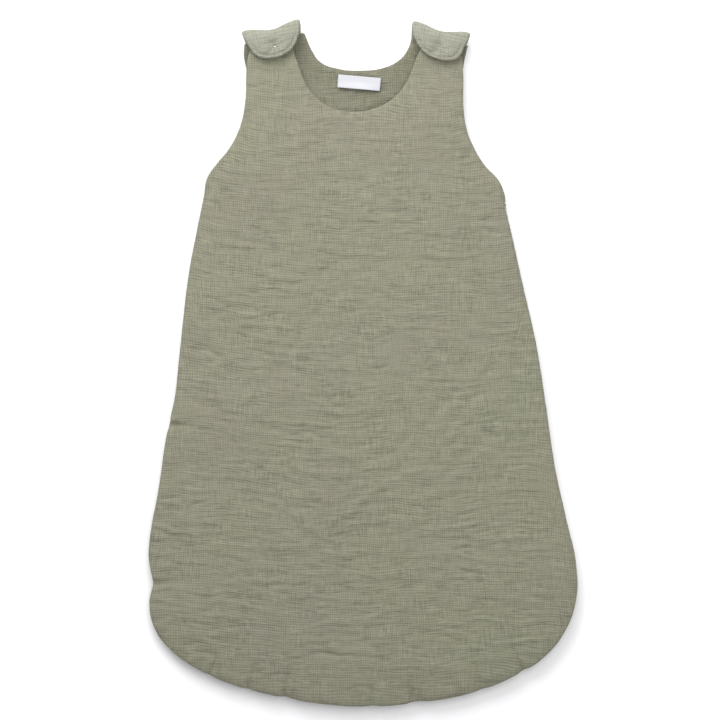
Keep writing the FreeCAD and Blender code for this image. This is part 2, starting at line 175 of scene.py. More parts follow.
SHARP = {(105.9, 328), (48.9, 340), (-62.5, 341.4), (-124.2, 330)}


# %% Pattern to solid
def knotted(name, points):
    """The pattern as a smooth closed curve through its points, corners kept where sharp."""
    data = bpy.data.curves.new(name, "CURVE")
    data.dimensions = "2D"
    spline = data.splines.new("BEZIER")
    spline.bezier_points.add(len(points) - 1)
    spline.use_cyclic_u = True
    for knot, place in zip(spline.bezier_points, points):
        knot.co = (place[0] * MM, place[1] * MM, 0)
        kind = "VECTOR" if place in SHARP else "AUTO"
        knot.handle_left_type = knot.handle_right_type = kind
    piece = bpy.data.objects.new(name, data)
    bpy.context.collection.objects.link(piece)
    return piece


def pattern_curve(name, points, low, high, roll):
    """The pattern thickened from low to high with its rim rolled; millimetres in."""
    piece = knotted(name, points)
    piece.data.fill_mode = "BOTH"
    piece.data.resolution_u = 8
    piece.data.extrude = ((high - low) / 2 - roll) * MM
    piece.data.bevel_depth = roll * MM
    piece.data.bevel_resolution = 5
    piece.data.offset = -roll * MM
    piece.location.z = (low + high) / 2 * MM
    return piece


def finished_mesh(piece):
    """The piece with its modifiers, as a plain mesh standing in the row frame."""
    bpy.context.view_layer.update()
    graph = bpy.context.evaluated_depsgraph_get()
    mesh = bpy.data.meshes.new_from_object(piece.evaluated_get(graph), depsgraph=graph)
    mesh.transform(piece.matrix_world)
    return mesh


def as_object(name, mesh):
    mesh.name = name
    piece = bpy.data.objects.new(name, mesh)
    bpy.context.collection.objects.link(piece)
    return piece


def skin_over(curve, voxel, smooth):
    """Turn the solid into an even skin of quads with sides of one voxel, then calm its steps."""
    name = curve.name
    solid = as_object(name + "_solid", finished_mesh(curve))
    bpy.data.objects.remove(curve)
    even = solid.modifiers.new("even skin", "REMESH")
    even.mode = "VOXEL"
    even.voxel_size = voxel * MM
    calm = solid.modifiers.new("calm", "SMOOTH")
    calm.iterations = smooth
    piece = as_object(name, finished_mesh(solid))
    bpy.data.objects.remove(solid)
    print(name, "has", len(piece.data.polygons), "faces")
    return piece


def finer(piece):
    """Divide every face in four and keep the result as plain mesh."""
    subdivision = piece.modifiers.new("finer", "SUBSURF")
    subdivision.levels = subdivision.render_levels = 1
    mesh = finished_mesh(piece)
    old = piece.data
    piece.modifiers.clear()
    piece.data = mesh
    bpy.data.meshes.remove(old)
    mesh.name = piece.name


def places(piece):
    """Where the mesh points are, in millimetres."""
    flat = np.empty(len(piece.data.vertices) * 3)
    piece.data.vertices.foreach_get("co", flat)
    return flat.reshape(-1, 3) / MM


def set_places(piece, points):
    piece.data.vertices.foreach_set("co", (points * MM).ravel())
    piece.data.update()


def normals(piece):
    flat = np.empty(len(piece.data.vertices) * 3)
    piece.data.vertex_normals.foreach_get("vector", flat)
    return flat.reshape(-1, 3)


def keep_weave(piece):
    """Remember where each point lay in the flat cloth, and where on the slightly bent weave."""
    flat = places(piece)
    bent = flat.copy()
    bent[:, 1] -= sag(flat[:, 0])
    for name, spots in (("flat", flat), ("weave", bent)):
        kept = piece.data.attributes.new(name, "FLOAT_VECTOR", "POINT")
        kept.data.foreach_set("vector", (spots * MM).ravel())


def flat_places(piece):
    """Where the mesh points lay in the flat cloth, in millimetres."""
    flat = np.empty(len(piece.data.vertices) * 3)
    piece.data.attributes["flat"].data.foreach_get("vector", flat)
    return flat.reshape(-1, 3) / MM


def smooth_shading(piece):
    for face in piece.data.polygons:
        face.use_smooth = True


# %% [markdown]
# Real wadding pushes the cloth out between its seams. A short cloth simulation does the same:
# air pressure fills the closed skin while its rim shrinks a little, as a sewn edge does, so
# gathers form where the edge curves. How far a point may move is capped, and the result is
# kept as plain mesh.

# %% Fill a panel
def fill(piece, pressure, cap, rim, shrink=0.06, frames=20):
    """Inflate the closed skin; rim is how strongly each point shrinks, 0 to 1."""
    start = places(piece)
    group = piece.vertex_groups.new(name="rim")
    for number, weight in enumerate(rim):
        group.add([number], float(weight), "REPLACE")
    cloth = piece.modifiers.new("filling", "CLOTH")
    cloth.settings.quality = 5
    cloth.settings.mass = 0.25
    cloth.settings.tension_stiffness = 20
    cloth.settings.compression_stiffness = 20
    cloth.settings.bending_stiffness = 0.4
    cloth.settings.use_pressure = True
    cloth.settings.uniform_pressure_force = pressure
    cloth.settings.vertex_group_shrink = "rim"
    cloth.settings.shrink_max = shrink
    cloth.settings.effector_weights.gravity = 0
    cloth.collision_settings.use_collision = False
    cloth.point_cache.frame_start = 1
    cloth.point_cache.frame_end = frames
    for frame_number in range(1, frames + 1):
        bpy.context.scene.frame_set(frame_number)
    mesh = finished_mesh(piece)
    moved = np.empty(len(mesh.vertices) * 3)
    mesh.vertices.foreach_get("co", moved)
    shift = moved.reshape(-1, 3) / MM - start
    length = np.linalg.norm(shift, axis=1, keepdims=True)
    shift *= np.minimum(1, cap / np.maximum(length, 1e-6))
    piece.modifiers.clear()
    piece.vertex_groups.clear()
    bpy.context.scene.frame_set(1)
    set_places(piece, start + shift)
    print(piece.name, "filled; mean move", round(float(length.mean()), 2), "mm, most",
          round(float(length.max()), 1))


# %% Distance from the sewn edge
def edge_of(points):
    """Closely spaced places on the pattern's edge, the direction inward, and the run along it."""
    line = knotted("edge", points)
    line.data.fill_mode = "NONE"
    line.data.resolution_u = 24
    mesh = finished_mesh(line)
    bpy.data.objects.remove(line)
    co = np.array([vert.co[:2] for vert in mesh.vertices]) / MM
    bpy.data.meshes.remove(mesh)
    along = np.roll(co, -1, axis=0) - np.roll(co, 1, axis=0)
    along /= np.linalg.norm(along, axis=1, keepdims=True)
    ahead = np.roll(co, -1, axis=0)
    turn = np.sign(np.sum(co[:, 0] * ahead[:, 1] - ahead[:, 0] * co[:, 1]))
    inward = np.stack([-along[:, 1], along[:, 0]], axis=1) * turn
    gaps = np.linalg.norm(ahead - co, axis=1)
    return co, inward, np.concatenate([[0], np.cumsum(gaps)[:-1]])


def nearest_on(edge, where):
    """The number of the edge place nearest to each place."""
    tree = KDTree(len(edge[0]))
    for number, spot in enumerate(edge[0]):
        tree.insert((spot[0], spot[1], 0), number)
    tree.balance()
    return np.array([tree.find((x, y, 0))[1] for x, y, z in where])


def from_edge(edge, where):
    """Distance from the edge, and run along it, for each place."""
    number = nearest_on(edge, where)
    return np.linalg.norm(where[:, :2] - edge[0][number], axis=1), edge[2][number]


def true_rim(piece, edge, low, high, roll):
    """Draw the rim back onto the pattern's edge, with the round section it was cut to."""
    p = places(piece)
    number = nearest_on(edge, p)
    inward = edge[1][number]
    rise = np.abs(p[:, 2] - (low + high) / 2) - ((high - low) / 2 - roll)
    rise = np.clip(rise / roll, 0, 1)
    want = roll * (1 - np.sqrt(1 - rise ** 2))
    have = np.sum((p[:, :2] - edge[0][number]) * inward, axis=1)
    move = np.clip(want - have, -3, 3) * step(1 - rise, 0, 0.3)
    p[:, :2] += inward * move[:, None]
    set_places(piece, p)


FRONT_EDGE, BACK_EDGE = edge_of(FRONT), edge_of(BACK)
print("front edge", round(FRONT_EDGE[2][-1]), "mm round")


# %% [markdown]
# ## The front panel
# The front is the thick quilted panel that is seen first. Its rim is a soft roll, thin at the
# straps where it is pressed flat, and the middle rises over the wadding. The side seam and the
# foot are gathered, so puckers run in from there for a few centimetres, and at a few places
# the stitches pinch the edge.

# %% Shape the front
CUT_LOW, CUT_TOP, CUT_ROLL = 12.4, 21.4, 4.2
PLUMP_TOP, PRESSED_TOP = 21.0, 17.4
front = skin_over(pattern_curve("front_panel", FRONT, CUT_LOW, CUT_TOP, CUT_ROLL), 3.2, 6)
true_rim(front, FRONT_EDGE, CUT_LOW, CUT_TOP, CUT_ROLL)
keep_weave(front)
front_depth = from_edge(FRONT_EDGE, places(front))[0]
fill(front, pressure=0.45, cap=6.0, rim=np.exp(-front_depth / 7.0))
finer(front)

DEEP_PINCHES = [(-82, -341), (49, -343), (162, -314), (-202, -61)]
LIGHT_PINCHES = [(-158, -318), (-74, -343), (56, -342), (-218, -224), (120, -332), (-120, -334),
                 (8, -350)]
PINCHES = [(spot, 1.0) for spot in DEEP_PINCHES] + [(spot, 0.6) for spot in LIGHT_PINCHES]
STUDS = [joints[side + "_tab_fold"]["pos_m"] for side in ("left", "right")]
STUD_FROM_FOLD = 20


def sewn_side(x, y, depth):
    """How near a place is to the side seam, 0 to 1."""
    return step(-x, 60, 120) * (1 - step(y, 170, 190)) * (1 - step(depth, 4, 26))


def shape_front(piece):
    flat = flat_places(piece)
    shift = places(piece) - flat
    x, y = flat[:, 0], flat[:, 1]
    depth, run = from_edge(FRONT_EDGE, flat)
    height = np.clip((flat[:, 2] - CUT_LOW) / (CUT_TOP - CUT_LOW), 0, 1)
    strap = step(y, 245, 300)
    low = CUT_LOW - 2.0 * sewn_side(x, y, depth)
    crown = 5.0 * (1 - np.exp(-np.maximum(depth - 4, 0) / 40)) * (1 - strap)
    swell = 1.1 * noise(x, y, 130, 95, 21) * (1 - strap)
    high = PLUMP_TOP + (PRESSED_TOP - PLUMP_TOP) * strap + crown + swell
    inside = (1 - strap) * step(depth, 3, 18)
    p = flat.copy()
    p[:, :2] += shift[:, :2] * (0.5 * inside)[:, None]
    calm = height * (1 - strap) * step(depth, -2, 10)
    p[:, 2] = low + height * (high - low) + 0.3 * shift[:, 2] * calm
    gather = step(-y, 120, 300) + 0.7 * step(-x, 120, 180) * (1 - step(y, 150, 190))
    pucker = noise(run, depth, 13, 60, 31) + 0.6 * noise(run, depth, 6, 25, 32)
    p[:, 2] += height * np.clip(gather, 0, 1) * 1.0 * pucker * np.exp(-depth / 15)
    inward = FRONT_EDGE[1][nearest_on(FRONT_EDGE, flat)]
    for (pinch_x, pinch_y), deep in PINCHES:
        gap = run - FRONT_EDGE[2][nearest_on(FRONT_EDGE, [(pinch_x, pinch_y, 0)])]
        p[:, 2] -= height * 4.8 * deep * np.exp(-(gap / 2.8) ** 2) * np.exp(-depth / 17)
        pinch = 1.5 * deep * np.exp(-(gap / 6) ** 2) * np.exp(-depth / 9)
        p[:, :2] += inward * pinch[:, None]
    for spot in STUDS:
        away = np.hypot(x - spot[0] / MM, y - spot[1] / MM + STUD_FROM_FOLD)
        p[:, 2] -= height * 1.7 * step(away, 6, 12) * (1 - step(away, 22, 34))
    set_places(piece, p)
    top = step(height, 0.35, 0.7)
    rumple = crinkle(x, y) * (0.3 + 0.7 * top) * step(depth, -1, 5)
    set_places(piece, p + normals(piece) * rumple[:, None] * 1.9)
    smooth_shading(piece)


shape_front(front)

# %% [markdown]
# ## The back panel
# The back lies on the floor, so its underside is flat and its upper side is the lining that
# shows in the neck opening. It rises to meet the front along the side seam, and lies low where
# the zip stands on it.

# %% Shape the back
BACK_THICK, BACK_ROLL = 5.6, 2.6
back = skin_over(pattern_curve("back_panel", BACK, 0.0, BACK_THICK, BACK_ROLL), 2.2, 5)
true_rim(back, BACK_EDGE, 0.0, BACK_THICK, BACK_ROLL)
keep_weave(back)


def shape_back(piece):
    flat = flat_places(piece)
    x, y = flat[:, 0], flat[:, 1]
    p = flat.copy()
    depth = from_edge(BACK_EDGE, flat)[0]
    height = np.clip(flat[:, 2] / BACK_THICK, 0, 1)
    sewn = sewn_side(x, y, depth)
    body = 1 - step(y, 290, 325)
    zip_side = np.clip(step(x, 60, 110) * (1 - step(y, 175, 185)) + step(-y, 290, 310), 0, 1)
    zip_side = zip_side * (1 - sewn)
    rise = 2.2 * step(depth, 14, 40) * body + 4.4 * sewn
    rise -= 0.8 * zip_side * (1 - step(depth, 12, 18))
    p[:, 2] = height * (BACK_THICK + rise)
    set_places(piece, p)
    rumple = crinkle(x, y, 43) * step(depth, -1, 4) * (0.3 + 0.7 * step(height, 0.3, 0.8))
    p += normals(piece) * rumple[:, None] * 2.2
    p[:, 2] = np.maximum(p[:, 2], 0)
    set_places(piece, p)
    smooth_shading(piece)


shape_back(back)

# %% [markdown]
# ## The shoulder tabs
# Each back strap goes over the shoulder, turns forward and ends in a rounded tab. The tab is
# cut flat like any panel and then wrapped round the fold. Its end leans a little outward. The
# press stud pulls a dimple and small pleats into the padding, and the fold dips above it.

# %% Cut and fold a tab
PANEL = BACK_TOP
BEND = FOLD - PANEL / 2
AROUND = math.pi * BEND
TAB_ROLL, TAB_END, TAB_WIDE = 2.7, 47.3, 28.5
STUD_REACH = 7.5
TAB_HALF = [
    (0, TAB_WIDE), (8, 30.2), (15, 30.6), (22, 29.2), (28.6, 26.6), (34, 24.2), (39.7, 20.4),
    (43.8, 15.8), (46.3, 9),
]
LEAN = {"left": -0.14, "right": 0.3}
CLOTH_SEED = {"left": 71, "right": 83}
TAB = ([(-TAB_WIDE, 0), (0, 0)] + [(half, run) for run, half in TAB_HALF] + [(0, TAB_END)]
       + [(-half, run) for run, half in reversed(TAB_HALF[1:])])
SHARP |= {(-TAB_WIDE, 0), (TAB_WIDE, 0)}
TAB_EDGE = edge_of(TAB)


def fold_tab(side):
    """Cut the tab flat and wrap it forward round the shoulder fold."""
    joint = joints[side + "_tab_fold"]
    pivot = Vector(joint["pos_m"]) / MM
    along = -Vector(joint["axis"])
    outward = Vector((-along.y, along.x, 0))
    middle = Vector((pivot.x, pivot.y, 0)) - outward * FOLD
    piece = skin_over(pattern_curve(side + "_tab", TAB, -PANEL / 2, PANEL / 2, TAB_ROLL), 1.5, 3)
    true_rim(piece, TAB_EDGE, -PANEL / 2, PANEL / 2, TAB_ROLL)
    keep_weave(piece)
    finer(piece)
    p = places(piece)
    u, s, w = p[:, 0], p[:, 1], -p[:, 2]
    depth = from_edge(TAB_EDGE, p)[0]
    over = step(s, AROUND * 0.35, AROUND * 0.9)
    o = w * (1 + over * 0.42 * step(depth, 0, 9) * (w > 0))
    angle = np.clip(s / BEND, 0, math.pi) - math.pi / 2
    straight = np.maximum(s - AROUND, 0)
    reach = np.cos(angle) * (BEND + o) - straight
    lift = FOLD + np.sin(angle) * (BEND + o)
    across = u + LEAN[side] * straight
    from_stud = np.hypot(across, reach + STUD_REACH)
    outer = step(w, -0.5, 1.5) * over
    reach += np.cos(angle) * (3.0 + 1.6 * (u / 29) ** 2)
    lift -= outer * 2.7 * np.exp(-(from_stud / 6.5) ** 2)
    if side == "left":
        lift -= outer * 1.5 * np.exp(-(from_stud / 1.5) ** 2)
    else:
        upright = np.exp(-((u - 1) / 1.3) ** 2) * step(reach, -9, -4)
        level = np.exp(-((reach + 11 + 0.02 * u ** 2) / 1.1) ** 2) * step(13 - abs(u), 0, 7)
        lift -= outer * 0.9 * upright
        lift -= outer * 0.9 * level
    reach -= 4.0 * np.exp(-(u / 13) ** 2) * np.exp(-(angle / 0.9) ** 2)
    pleat = noise(np.arctan2(reach + STUD_REACH, u) * 9, from_stud, 3.5, 30, 57)
    lift += outer * 0.8 * pleat * np.exp(-((from_stud - 8) / 7) ** 2)
    lift -= outer * step(-reach, -6, 3) * 1.0 * np.exp(-((depth - 3.4) / 1.0) ** 2)
    q = np.stack([
        middle.x + along.x * across + outward.x * reach,
        middle.y + along.y * across + outward.y * reach,
        lift], axis=1)
    set_places(piece, q)
    q += normals(piece) * (crinkle(u + 300, s, CLOTH_SEED[side]) * 0.7)[:, None]
    q[:, 2] = np.maximum(q[:, 2], 0)
    set_places(piece, q)
    smooth_shading(piece)
    print(side, "tab folds about", tuple(middle))
    return piece


left_tab = fold_tab("left")
right_tab = fold_tab("right")


# %% [markdown]
# ## The labels
# A small white satin label is sewn inside the back of the neck by its upper edge and its
# ends, so its lower edge stands a little off the lining and throws a thin shadow. The care
# label lies inside at the side seam. Both are blank.

# %% Labels
SEWN_UP = 1.3


def sewn_label(name, node, size, turn, lift):
    """A label of this long and wide size, turned in degrees, its sewn edge at this lift."""
    low, high = box_mm(node)
    middle = (low + high) / 2 + Vector((0, SEWN_UP, 0))
    long, wide = size
    form = bmesh.new()
    bmesh.ops.create_grid(form, x_segments=36, y_segments=18, size=0.5)
    bmesh.ops.scale(form, vec=(long, wide, 1), verts=form.verts)
    for vert in form.verts:
        u, v = vert.co.x / long, vert.co.y / wide
        vert.co.z = lift + 1.3 * step(-v, -0.1, 0.5) * (1 - (2 * u) ** 4) + 0.25 * math.sin(u * 9)
    matrix = Matrix.Rotation(math.radians(turn), 3, "Z")
    bmesh.ops.rotate(form, matrix=matrix, verts=form.verts)
    bmesh.ops.translate(form, vec=(middle.x, middle.y, 0), verts=form.verts)
    bmesh.ops.scale(form, vec=(MM, MM, MM), verts=form.verts)
    mesh = bpy.data.meshes.new(name)
    form.to_mesh(mesh)
    form.free()
    piece = as_object(name, mesh)
    thick = piece.modifiers.new("satin", "SOLIDIFY")
    thick.thickness = 0.35 * MM
    smooth_shading(piece)
    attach(piece, "bag")
    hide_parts(node)
    return piece


neck_label = sewn_label("neck_label_satin", "neck_label", (44, 13.5), -5, 8.6)
care_label = sewn_label("care_label_satin", "care_label", (25, 40), 8.5, 9.4)

# %% [markdown]
# ## The zip
# The zip stands on edge between the panels, 9 mm in from the bag's side, and runs down the
# right side, round the corner and along the foot. One row of teeth belongs to each panel and
# the two rows mesh. Each tooth is one small block with its edges bevelled, set along the run.

# %% The zip's run
ZIP_IN = 9.0
PITCH = 1.9
TOOTH_ACROSS, TOOTH_ALONG, TOOTH_HIGH = 1.5, 1.15, 2.3
CORNER_ROUND, FOOT_ROUND = 110, 464
COIL_TOP = box_mm("zip_coil_front_upper")[1].z
COIL_LOW = box_mm("zip_coil_back")[0].z
ZIP_TOP_Y = box_mm("zip_coil_back")[1].y
ZIP_END_X = box_mm("zip_coil_back")[0].x
SIDE_TOP, SIDE_LOW = Vector((146, 183, 0)), Vector((219.4, -205, 0))
FOOT_RIGHT, FOOT_LEFT = Vector((138, -329, 0)), Vector((-138, -329, 0))


def arc_inside(start, end, radius, steps):
    """Places along the edge's arc moved in by the zip's inset."""
    middle, half = (start + end) / 2, (end - start) / 2
    inward = Vector((half.y, -half.x, 0)).normalized()
    if inward.dot(-middle) < 0:
        inward = -inward
    centre = middle + inward * math.sqrt(radius ** 2 - half.length_squared)
    first = math.atan2(start.y - centre.y, start.x - centre.x)
    last = math.atan2(end.y - centre.y, end.x - centre.x)
    return [centre + Vector((math.cos(a), math.sin(a), 0)) * (radius - ZIP_IN)
            for a in np.linspace(first, last, steps)]


side_dir = (SIDE_LOW - SIDE_TOP).normalized()
side_in = Vector((side_dir.y, -side_dir.x, 0))
zip_line = [SIDE_TOP + side_in * ZIP_IN, SIDE_LOW + side_in * ZIP_IN]
zip_line += arc_inside(SIDE_LOW, FOOT_RIGHT, CORNER_ROUND, 40)
zip_line += arc_inside(FOOT_RIGHT, FOOT_LEFT, FOOT_ROUND, 60)
zip_line = [p for p in zip_line if p.x > ZIP_END_X]
print("zip line of", len(zip_line), "places")


def along_zip(pitch, begin=0.0):
    """Evenly spaced places on the run, each with its direction."""
    spots, left = [], begin
    for a, b in zip(zip_line[:-1], zip_line[1:]):
        way = (b - a)
        while left < way.length and way.length > 0.01:
            spot = a + way.normalized() * left
            if spot.y < ZIP_TOP_Y:
                spots.append((spot, math.atan2(way.y, way.x)))
            left += pitch
        left = max(left - way.length, 0)
    return spots


# %% Teeth and tapes
def teeth(name, low, begin):
    form = bmesh.new()
    size = Matrix.Diagonal((TOOTH_ALONG * MM, TOOTH_ACROSS * MM, TOOTH_HIGH * MM, 1))
    for spot, turn in along_zip(PITCH, begin):
        place = Matrix.Translation((spot.x * MM, spot.y * MM, (low + TOOTH_HIGH / 2) * MM))
        bmesh.ops.create_cube(form, size=1.0, matrix=place @ Matrix.Rotation(turn, 4, "Z") @ size)
    bmesh.ops.bevel(form, geom=form.edges[:], offset=0.3 * MM, segments=1, profile=0.5,
                    affect="EDGES", material=-1)
    mesh = bpy.data.meshes.new(name)
    form.to_mesh(mesh)
    form.free()
    print(name, "has", len(mesh.polygons), "faces")
    return as_object(name, mesh)


def standing_tape(name, low, high, thick):
    data = bpy.data.curves.new(name, "CURVE")
    data.dimensions = "3D"
    data.extrude = (high - low) / 2 * MM
    line = data.splines.new("POLY")
    run = [p for p in zip_line if p.y < ZIP_TOP_Y]
    run.insert(0, along_zip(PITCH)[0][0])
    line.points.add(len(run) - 1)
    for point, spot in zip(line.points, run):
        point.co = (spot.x * MM, spot.y * MM, (low + high) / 2 * MM, 1)
    ribbon = bpy.data.objects.new(name + "_line", data)
    bpy.context.collection.objects.link(ribbon)
    piece = as_object(name, finished_mesh(ribbon))
    bpy.data.objects.remove(ribbon)
    wall = piece.modifiers.new("thickness", "SOLIDIFY")
    wall.thickness = thick * MM
    wall.offset = 0
    return piece


teeth_front = teeth("zip_teeth_front", COIL_TOP - TOOTH_HIGH, 0.0)
teeth_back = teeth("zip_teeth_back", COIL_LOW, PITCH / 2)
tape_front = standing_tape("zip_tape_front_cloth", COIL_TOP, FRONT_LOW + 4, 0.4)


# %% [markdown]
# The slider, its pull and the top stop are die cast, so no edge on them is sharp. Each is a
# copy of the model's own part with its doubles merged, its flat faces joined and its edges
# bevelled.

# %% Slider, pull and stop
def rounded_copy(name, node, edge):
    form = bmesh.new()
    form.from_mesh(frame["nodes"][node].data)
    bmesh.ops.remove_doubles(form, verts=form.verts, dist=0.01 * MM)
    bmesh.ops.dissolve_limit(form, angle_limit=math.radians(2), verts=form.verts, edges=form.edges)
    bmesh.ops.bevel(form, geom=form.edges[:], offset=edge * MM, segments=2, profile=0.5,
                    affect="EDGES", material=-1, clamp_overlap=True)
    mesh = bpy.data.meshes.new(name)
    form.to_mesh(mesh)
    form.free()
    print(name, "has", len(mesh.polygons), "faces")
    return as_object(name, mesh)


metal_pieces = []
for node, body, edge in (("zip_slider", "zip_slider", 0.3), ("zip_pull", "zip_pull", 0.3),
                         ("zip_top_stop", "bag", 0.15)):
    piece = rounded_copy(node + "_cast", node, edge)
    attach(piece, body)
    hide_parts(node)
    metal_pieces.append(piece)

# %% [markdown]
# ## Riding and standing in for the model
# The back, its zip teeth, the labels and the cast metal ride on the model's bodies; the front,
# its zip and the tabs stay where they were built. The soft pieces take the place of the plain
# solids in the model.

# %% Ride and replace
flap_joint = joints["front_flap_fold"]
flap_axis = Vector(flap_joint["axis"])
flap_spot = Vector(flap_joint["pos_m"])
flap_across = Vector((-flap_axis.y, flap_axis.x, 0))
far_foot = Vector((0.2, -0.25, 0))
if (far_foot - flap_spot).dot(flap_across) < 0:
    flap_across = -flap_across


def blend_across_flap(piece):
    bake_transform(piece)


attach(back, "bag")
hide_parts("back_shell", "back_padding", "back_lining", "side_seam")

blend_across_flap(front)
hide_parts(*[layer + part for layer in ("front_shell", "front_padding", "front_lining")
                     for part in ("_upper", "_flap")])

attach(teeth_back, "bag")
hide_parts("zip_coil_back")
for piece, slot in ((teeth_front, "zip_coil"), (tape_front, "zip_tape")):
    blend_across_flap(piece)
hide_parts("zip_coil_front_upper", "zip_coil_front_flap")
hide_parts("zip_tape_front_upper", "zip_tape_front_flap")

for side, tab in (("left", left_tab), ("right", right_tab)):
    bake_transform(tab)
    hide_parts(side + "_tab_shell", side + "_tab_padding", side + "_tab_lining",
                side + "_strap_fold")


# %% [markdown]
# ## Finishes
# Every finish is named for what it is and how it was made. One function turns the colour
# chart's sRGB values to linear light, and one adds a node with its settings and links.

# %% Helpers for finishes
def linear(code):
    """sRGB hex to linear colour."""
    parts = [int(code[i:i + 2], 16) / 255 for i in (1, 3, 5)]
    light = [c / 12.92 if c <= 0.04045 else ((c + 0.055) / 1.055) ** 2.4 for c in parts]
    return tuple(light) + (1.0,)


def add(tree, kind, feeds=None, **settings):
    """Add a node and set it up; each feed is a socket to link from, or a constant."""
    node = tree.nodes.new("ShaderNode" + kind)
    for name, value in settings.items():
        if hasattr(node, name):
            setattr(node, name, value)
        else:
            node.inputs[name.replace("_", " ")].default_value = value
    for socket, source in (feeds or {}).items():
        if isinstance(source, bpy.types.NodeSocket):
            tree.links.new(source, node.inputs[socket])
        else:
            node.inputs[socket].default_value = source
    return node


def new_finish(name):
    finish = bpy.data.materials.new(name)
    finish.use_nodes = True
    tree = finish.node_tree
    tree.nodes.clear()
    return finish, tree


def bands(gap):
    """The wave texture's scale for bands this many millimetres apart."""
    return 2 * math.pi / (gap * MM) / 20


# %% [markdown]
# Double gauze is cotton muslin woven loosely in two layers and washed. The eye sees a matt
# cloth with a soft bloom, squares of 2 to 3 mm where the layers are caught together, uneven
# ribs of about 1.5 mm both ways between them, and long thin creases along the weft. Where
# these sink the colour turns deeper: painted shade in the hollows, over the threads' own uneven
# tone. The single threads, about 0.5 mm apart, are too fine to show, so they are drawn at
# 1.1 mm. The lining is given a deeper colour as painted shade, since it lies in the shade of
# the front, and the tabs a paler colour as painted light, where they face the lamp.

# %% Double gauze
RIBS = {"warp": (1.5, 14.0), "weft": (13.0, 1.6)}
SQUARES = {"X": 2.2, "Y": 2.5}
SQUARE_DEPTH = 0.18
CREASE = (80.0, 6.4)
CREASE_HALF_WIDTH, CREASE_DEPTH = 0.034, 0.17
THREADS_PER_METRE = 900.0


def double_gauze(name, code, code_hollow_shade):
    finish, tree = new_finish(name)
    place = add(tree, "Attribute", attribute_name="weave").outputs["Vector"]
    drift = add(tree, "TexNoise", {"Vector": place}, Scale=12.0, Detail=1.5)
    centred = add(tree, "VectorMath", {0: drift.outputs["Color"], 1: (0.5, 0.5, 0.5)},
                  operation="SUBTRACT")
    moved = add(tree, "VectorMath", {0: centred.outputs[0]}, operation="SCALE", Scale=0.014)
    lie = add(tree, "VectorMath", {0: place, 1: moved.outputs[0]}, operation="ADD").outputs[0]

    tones = []
    for wide, tall in RIBS.values():
        turned = add(tree, "Mapping", {"Vector": lie}, Scale=(1000 / wide, 1000 / tall, 40))
        rib = add(tree, "TexNoise", {"Vector": turned.outputs[0]}, Scale=1.0, Detail=1.0)
        amount = add(tree, "TexNoise", {"Vector": place}, Scale=38.0 + 9 * len(tones), Detail=1.0)
        strong = add(tree, "MapRange", {"Value": amount.outputs["Fac"]},
                     From_Min=0.35, From_Max=0.65, To_Min=0.2, To_Max=0.7)
        off = add(tree, "Math", {0: rib.outputs["Fac"], 1: 0.5}, operation="SUBTRACT")
        tone = add(tree, "Math", {0: off.outputs[0], 1: strong.outputs[0]}, operation="MULTIPLY")
        tones.append(tone.outputs[0])
    for axis, gap in SQUARES.items():
        row = add(tree, "TexWave", {"Vector": lie}, wave_type="BANDS", bands_direction=axis,
                  Scale=bands(gap), Distortion=0.0)
        tone = add(tree, "Math", {0: row.outputs["Fac"], 1: SQUARE_DEPTH, 2: -SQUARE_DEPTH / 2},
                   operation="MULTIPLY_ADD")
        tones.append(tone.outputs[0])
    total = tones[0]
    for more in tones[1:]:
        total = add(tree, "Math", {0: total, 1: more}, operation="ADD").outputs[0]
    thread = add(tree, "TexNoise", {"Vector": lie}, Scale=THREADS_PER_METRE, Detail=2.0)
    fuzzy = add(tree, "Math", {0: thread.outputs["Fac"], 1: 0.4, 2: total},
                operation="MULTIPLY_ADD")

    long = add(tree, "Mapping", {"Vector": lie}, Scale=(1000 / CREASE[0], 1000 / CREASE[1], 20))
    wave = add(tree, "TexNoise", {"Vector": long.outputs[0]}, Scale=1.0, Detail=1.0,
               Roughness=0.35)
    level = add(tree, "Math", {0: wave.outputs["Fac"], 1: 0.5}, operation="SUBTRACT")
    size = add(tree, "Math", {0: level.outputs[0]}, operation="ABSOLUTE")
    line = add(tree, "MapRange", {"Value": size.outputs[0]}, interpolation_type="SMOOTHSTEP",
               From_Max=CREASE_HALF_WIDTH, To_Min=-CREASE_DEPTH, To_Max=0.0)
    gaps = add(tree, "TexNoise", {"Vector": place}, Scale=42.0, Detail=1.0)
    kept = add(tree, "MapRange", {"Value": gaps.outputs["Fac"]}, From_Min=0.4, From_Max=0.55)
    line = add(tree, "Math", {0: line.outputs[0], 1: kept.outputs[0]}, operation="MULTIPLY")
    spread = add(tree, "Math", {0: fuzzy.outputs[0], 1: line.outputs[0]}, operation="ADD")

    # The deeper colour fills where the weave and its creases sink: painted shade in the hollows,
    # mixed with the threads' own uneven tone.
    tone = add(tree, "MapRange", {"Value": spread.outputs[0]}, From_Min=-0.16, From_Max=0.52)
    colour = add(tree, "Mix", {"Factor": tone.outputs[0], 6: linear(code_hollow_shade), 7: linear(code)},
                 data_type="RGBA")
    patch = add(tree, "TexNoise", {"Vector": place}, Scale=9.0, Detail=2.0)
    shift = add(tree, "MapRange", {"Value": patch.outputs["Fac"]},
                From_Min=0.3, From_Max=0.7, To_Min=0.485, To_Max=0.512)
    warm = add(tree, "HueSaturation", {"Color": colour.outputs[2], "Hue": shift.outputs[0]})
    relief = add(tree, "Bump", {"Height": spread.outputs[0]}, Strength=0.6, Distance=0.0014)
    shader = add(tree, "BsdfPrincipled",
                 {"Base Color": warm.outputs[0], "Normal": relief.outputs[0]},
                 Roughness=0.92, Specular_IOR_Level=0.25, Sheen_Weight=0.25,
                 Sheen_Roughness=0.5, Sheen_Tint=linear("#C9CBB8"))
    add(tree, "OutputMaterial", {"Surface": shader.outputs[0]})
    return finish


